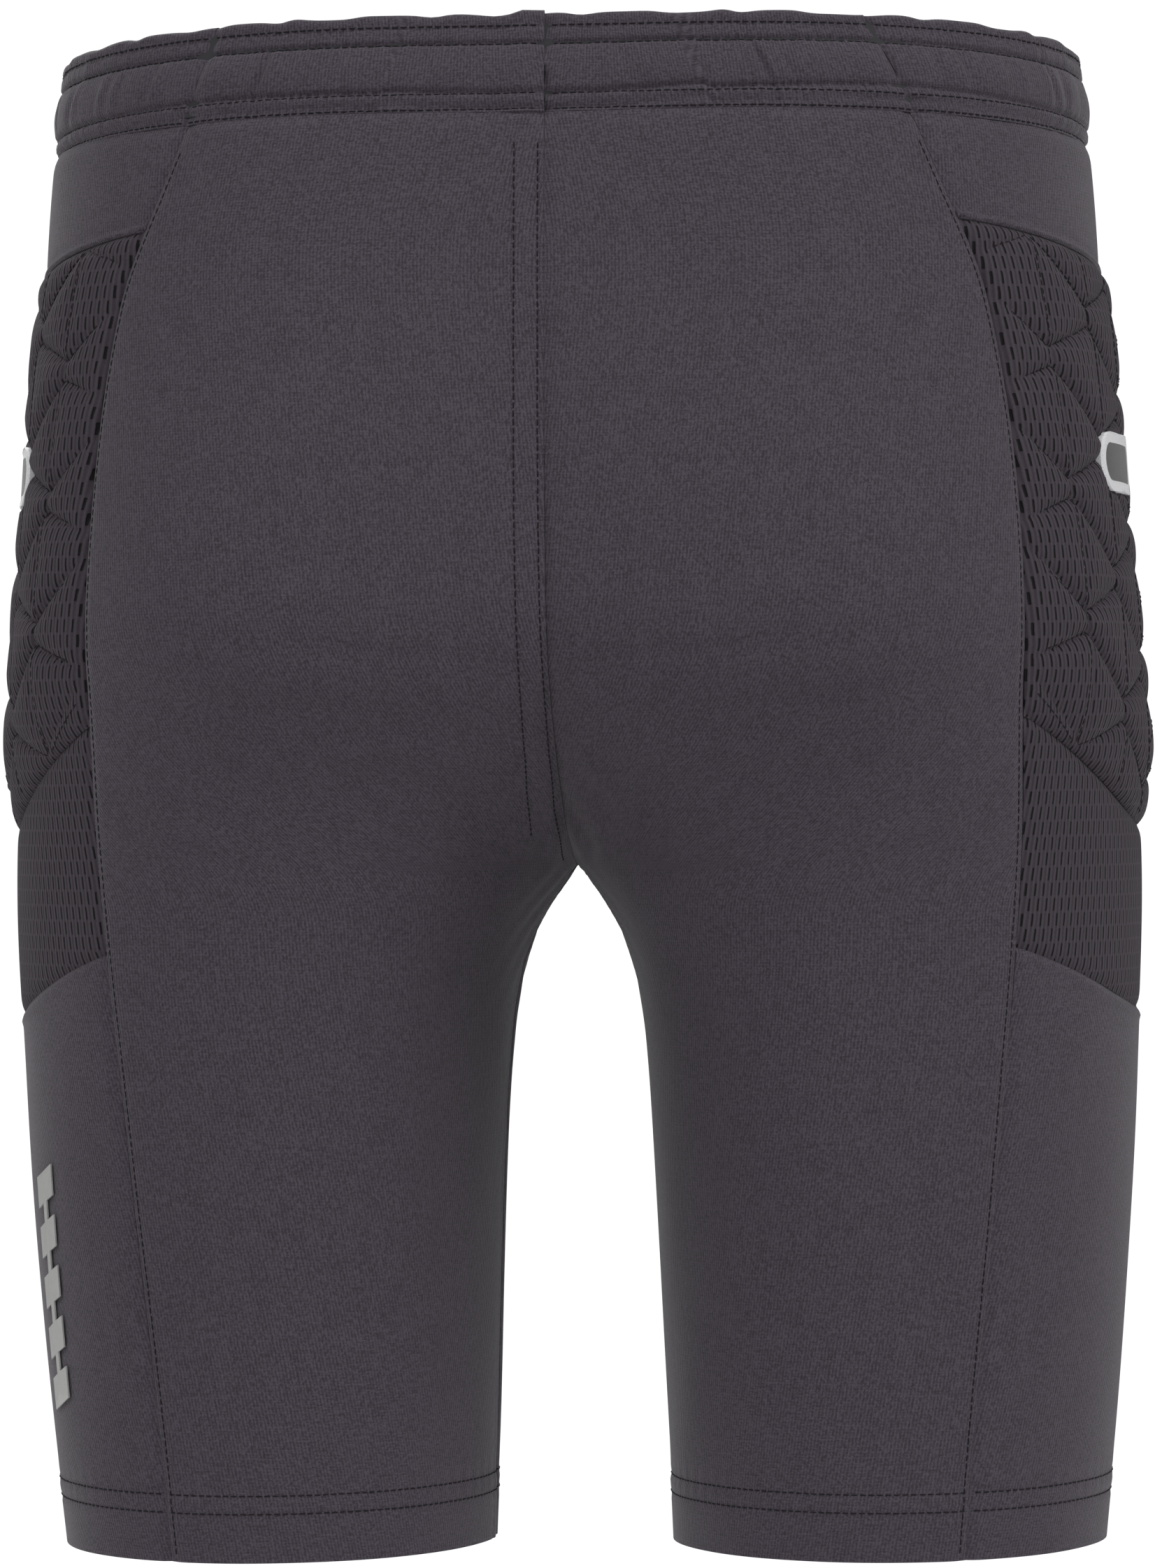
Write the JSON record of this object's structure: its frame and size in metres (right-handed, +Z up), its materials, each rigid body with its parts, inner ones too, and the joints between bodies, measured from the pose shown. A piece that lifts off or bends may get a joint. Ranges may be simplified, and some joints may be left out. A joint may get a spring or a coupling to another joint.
{
  "type": "padded sports shorts",
  "caption": "Close-fitting knee-length sports shorts with an elastic waistband and quilted foam pads over the hips, shown as worn.",
  "frame": {"origin": "centre of the waist opening, level with the top of the waistband at the side seams", "axes": "+Z up towards the waist, +Y to the back, +X to the wearer's left"},
  "size_m": [0.3704, 0.2338, 0.4771],
  "materials": {
    "stretch_fabric": "matte",
    "quilt_mesh": "matte",
    "pad_foam": "matte",
    "lining": "matte",
    "badge_thread": "satin",
    "elastic": "matte",
    "label": "satin",
    "reflective_film": "satin"
  },
  "bodies": {
    "seat": {"waistband_back_left": "stretch_fabric", "waistband_back_right": "stretch_fabric", "waistband_side_left": "stretch_fabric", "waistband_side_right": "stretch_fabric", "waistband_front_left": "stretch_fabric", "waistband_front_right": "stretch_fabric", "back_panel_left": "stretch_fabric", "back_panel_right": "stretch_fabric", "front_panel_left": "stretch_fabric", "front_panel_right": "stretch_fabric", "side_yoke_left": "stretch_fabric", "side_yoke_right": "stretch_fabric", "hip_pad_cover_left": "quilt_mesh", "hip_pad_cover_right": "quilt_mesh", "hip_pad_foam_left": "pad_foam", "hip_pad_foam_right": "pad_foam", "hip_pad_lining_left": "lining", "hip_pad_lining_right": "lining", "hip_badge_left": "badge_thread", "hip_badge_right": "badge_thread", "mesh_tail_left": "quilt_mesh", "mesh_tail_right": "quilt_mesh", "back_bend_left": "stretch_fabric", "back_bend_right": "stretch_fabric", "front_bend_left": "stretch_fabric", "front_bend_right": "stretch_fabric", "waist_elastic": "elastic", "centre_seam_facing": "stretch_fabric", "size_label": "label"},
    "left_leg": {"back_leg_left": "stretch_fabric", "front_leg_left": "stretch_fabric", "lower_side_left": "stretch_fabric", "hem_facing_left": "stretch_fabric", "reflective_print": "reflective_film"},
    "right_leg": {"back_leg_right": "stretch_fabric", "front_leg_right": "stretch_fabric", "lower_side_right": "stretch_fabric", "hem_facing_right": "stretch_fabric"}
  },
  "joints": [
    {"name": "left_leg_swing", "type": "hinge", "parent": "seat", "child": "left_leg", "pos_m": [0.097, 0, -0.299], "axis": [-1, 0, 0], "range_deg": [-15, 30], "stiffness_Nm_per_rad": 0.05, "deforming": ["back_bend_left", "front_bend_left", "mesh_tail_left"]},
    {"name": "right_leg_swing", "type": "hinge", "parent": "seat", "child": "right_leg", "pos_m": [-0.097, 0, -0.299], "axis": [-1, 0, 0], "range_deg": [-15, 30], "stiffness_Nm_per_rad": 0.05, "deforming": ["back_bend_right", "front_bend_right", "mesh_tail_right"]}
  ]
}
